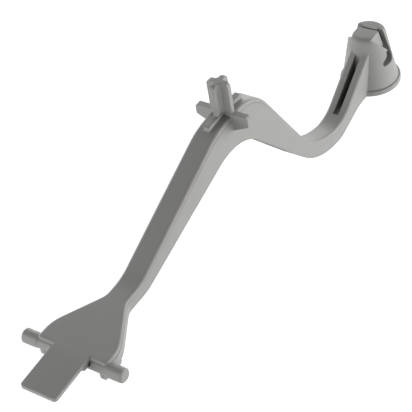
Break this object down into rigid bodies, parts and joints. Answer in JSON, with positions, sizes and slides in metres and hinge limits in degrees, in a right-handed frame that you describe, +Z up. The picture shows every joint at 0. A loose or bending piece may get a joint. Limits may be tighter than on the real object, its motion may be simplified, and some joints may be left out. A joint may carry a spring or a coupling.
{
  "type": "float arm",
  "caption": "Grey moulded float arm for a cistern fill valve: bent lever with pivot pins and a paddle, a cross-shaped peg on its crest and a hollow, flanged bell with a slotted head.",
  "frame": {"origin": "on the axis of the pivot pins, midway between them", "axes": "+X along the arm towards the bell, +Y along the pivot pins, +Z up along the peg"},
  "size_m": [0.2282, 0.0402, 0.0758],
  "materials": {
    "grey_plastic": "plain mid-grey moulded plastic with a fine satin surface"
  },
  "bodies": {
    "root": {"float_arm": "grey_plastic"}
  },
  "joints": []
}
